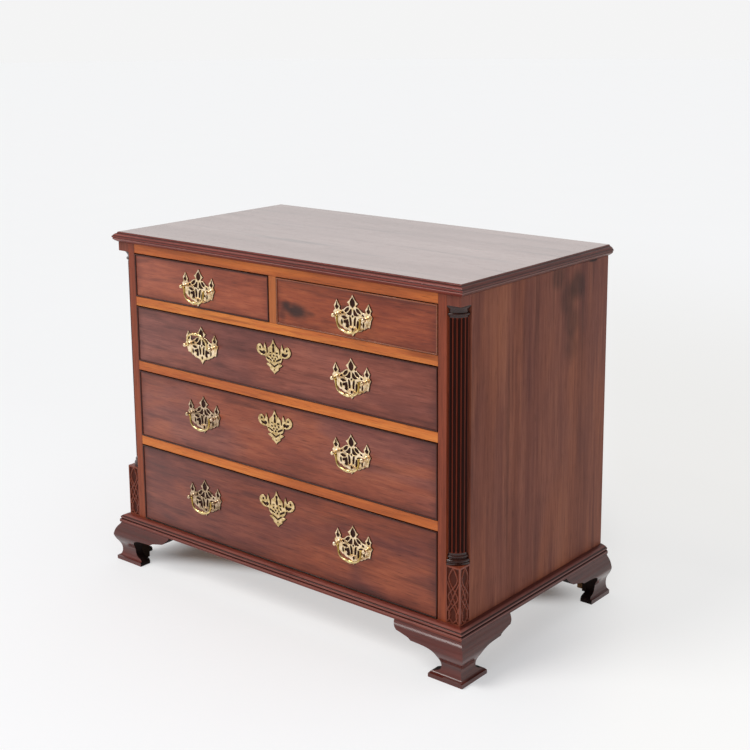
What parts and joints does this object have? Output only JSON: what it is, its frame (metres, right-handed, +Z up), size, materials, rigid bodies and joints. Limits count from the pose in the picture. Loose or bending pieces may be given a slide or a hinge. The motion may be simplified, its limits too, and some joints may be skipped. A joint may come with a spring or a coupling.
{
  "type": "chest of drawers",
  "caption": "Flat-fronted mahogany chest of drawers with a moulded top, fluted quarter columns, pierced brass bail handles and ogee bracket feet.",
  "frame": {"origin": "on the floor, under the middle of the whole chest's outer box", "axes": "+X to the right as seen from the front, +Y to the back of the chest, +Z up; the drawers open towards -Y"},
  "size_m": [1.061, 0.5814, 0.815],
  "materials": {
    "polished_top": "french polished mahogany",
    "side_mahogany": "polished mahogany, vertical grain",
    "stile_mahogany": "polished mahogany",
    "rail_mahogany": "polished mahogany, paler than the drawers",
    "drawer_mahogany": "polished figured mahogany",
    "column_mahogany": "dark polished mahogany",
    "moulding_mahogany": "polished mahogany",
    "plain_softwood": "bare planed softwood, darkened with age",
    "gilt_brass": "old lacquered brass with dark patches in the recesses",
    "plain_brass": "dull brass"
  },
  "bodies": {
    "case": {"top_board": "polished_top", "side_panel_left": "side_mahogany", "side_panel_right": "side_mahogany", "back_panel": "plain_softwood", "bottom_board": "plain_softwood", "corner_post_left": "stile_mahogany", "corner_post_right": "stile_mahogany", "top_rail": "rail_mahogany", "rail_upper": "rail_mahogany", "rail_middle": "rail_mahogany", "rail_lower": "rail_mahogany", "short_drawer_divider": "rail_mahogany", "quarter_column_left": "column_mahogany", "quarter_column_right": "column_mahogany", "base_moulding_front": "moulding_mahogany", "base_moulding_left": "moulding_mahogany", "base_moulding_right": "moulding_mahogany", "foot_front_left": "moulding_mahogany", "foot_front_right": "moulding_mahogany", "foot_back_left": "moulding_mahogany", "foot_back_right": "moulding_mahogany", "dust_board_upper": "plain_softwood", "dust_board_middle": "plain_softwood", "dust_board_lower": "plain_softwood"},
    "drawer_1_left_bail": {"drawer_1_left_bail": "gilt_brass"},
    "drawer_1_left": {"drawer_1_left_front": "drawer_mahogany", "drawer_1_left_box": "plain_softwood", "drawer_1_left_backplate": "gilt_brass"},
    "drawer_1_right_bail": {"drawer_1_right_bail": "gilt_brass"},
    "drawer_1_right": {"drawer_1_right_front": "drawer_mahogany", "drawer_1_right_box": "plain_softwood", "drawer_1_right_backplate": "gilt_brass"},
    "drawer_2_left_bail": {"drawer_2_left_bail": "gilt_brass"},
    "drawer_2_right_bail": {"drawer_2_right_bail": "gilt_brass"},
    "drawer_2_lock_bolt": {"drawer_2_lock_bolt": "plain_brass"},
    "drawer_2": {"drawer_2_front": "drawer_mahogany", "drawer_2_box": "plain_softwood", "drawer_2_left_backplate": "gilt_brass", "drawer_2_right_backplate": "gilt_brass", "drawer_2_lock": "plain_brass", "drawer_2_escutcheon": "gilt_brass"},
    "drawer_3_left_bail": {"drawer_3_left_bail": "gilt_brass"},
    "drawer_3_right_bail": {"drawer_3_right_bail": "gilt_brass"},
    "drawer_3_lock_bolt": {"drawer_3_lock_bolt": "plain_brass"},
    "drawer_3": {"drawer_3_front": "drawer_mahogany", "drawer_3_box": "plain_softwood", "drawer_3_left_backplate": "gilt_brass", "drawer_3_right_backplate": "gilt_brass", "drawer_3_lock": "plain_brass", "drawer_3_escutcheon": "gilt_brass"},
    "drawer_4_left_bail": {"drawer_4_left_bail": "gilt_brass"},
    "drawer_4_right_bail": {"drawer_4_right_bail": "gilt_brass"},
    "drawer_4_lock_bolt": {"drawer_4_lock_bolt": "plain_brass"},
    "drawer_4": {"drawer_4_front": "drawer_mahogany", "drawer_4_box": "plain_softwood", "drawer_4_left_backplate": "gilt_brass", "drawer_4_right_backplate": "gilt_brass", "drawer_4_lock": "plain_brass", "drawer_4_escutcheon": "gilt_brass"}
  },
  "joints": [
    {"name": "drawer_1_left_slide", "type": "slide", "parent": "case", "child": "drawer_1_left", "axis": [0, -1, 0], "range_m": [0, 0.4]},
    {"name": "drawer_1_left_bail_swing", "type": "hinge", "parent": "drawer_1_left", "child": "drawer_1_left_bail", "pos_m": [-0.2303, -0.27435, 0.7126], "axis": [-1, 0, 0], "range_deg": [-14, 194]},
    {"name": "drawer_1_right_slide", "type": "slide", "parent": "case", "child": "drawer_1_right", "axis": [0, -1, 0], "range_m": [0, 0.4]},
    {"name": "drawer_1_right_bail_swing", "type": "hinge", "parent": "drawer_1_right", "child": "drawer_1_right_bail", "pos_m": [0.227, -0.27435, 0.714], "axis": [-1, 0, 0], "range_deg": [-14, 194]},
    {"name": "drawer_2_slide", "type": "slide", "parent": "case", "child": "drawer_2", "axis": [0, -1, 0], "range_m": [0, 0.4]},
    {"name": "drawer_2_left_bail_swing", "type": "hinge", "parent": "drawer_2", "child": "drawer_2_left_bail", "pos_m": [-0.2247, -0.27435, 0.5809], "axis": [-1, 0, 0], "range_deg": [-186, 22]},
    {"name": "drawer_2_right_bail_swing", "type": "hinge", "parent": "drawer_2", "child": "drawer_2_right_bail", "pos_m": [0.2218, -0.27435, 0.5805], "axis": [-1, 0, 0], "range_deg": [-14, 194]},
    {"name": "drawer_2_bolt_throw", "type": "slide", "parent": "drawer_2", "child": "drawer_2_lock_bolt", "axis": [0, 0, 1], "range_m": [0, 0.008]},
    {"name": "drawer_3_slide", "type": "slide", "parent": "case", "child": "drawer_3", "axis": [0, -1, 0], "range_m": [0, 0.4]},
    {"name": "drawer_3_left_bail_swing", "type": "hinge", "parent": "drawer_3", "child": "drawer_3_left_bail", "pos_m": [-0.225, -0.27435, 0.4175], "axis": [-1, 0, 0], "range_deg": [-14, 194]},
    {"name": "drawer_3_right_bail_swing", "type": "hinge", "parent": "drawer_3", "child": "drawer_3_right_bail", "pos_m": [0.2195, -0.27435, 0.4172], "axis": [-1, 0, 0], "range_deg": [-14, 194]},
    {"name": "drawer_3_bolt_throw", "type": "slide", "parent": "drawer_3", "child": "drawer_3_lock_bolt", "axis": [0, 0, 1], "range_m": [0, 0.008]},
    {"name": "drawer_4_slide", "type": "slide", "parent": "case", "child": "drawer_4", "axis": [0, -1, 0], "range_m": [0, 0.4]},
    {"name": "drawer_4_left_bail_swing", "type": "hinge", "parent": "drawer_4", "child": "drawer_4_left_bail", "pos_m": [-0.229, -0.27435, 0.217], "axis": [-1, 0, 0], "range_deg": [-14, 194]},
    {"name": "drawer_4_right_bail_swing", "type": "hinge", "parent": "drawer_4", "child": "drawer_4_right_bail", "pos_m": [0.222, -0.27435, 0.2172], "axis": [-1, 0, 0], "range_deg": [-14, 194]},
    {"name": "drawer_4_bolt_throw", "type": "slide", "parent": "drawer_4", "child": "drawer_4_lock_bolt", "axis": [0, 0, 1], "range_m": [0, 0.008]}
  ]
}
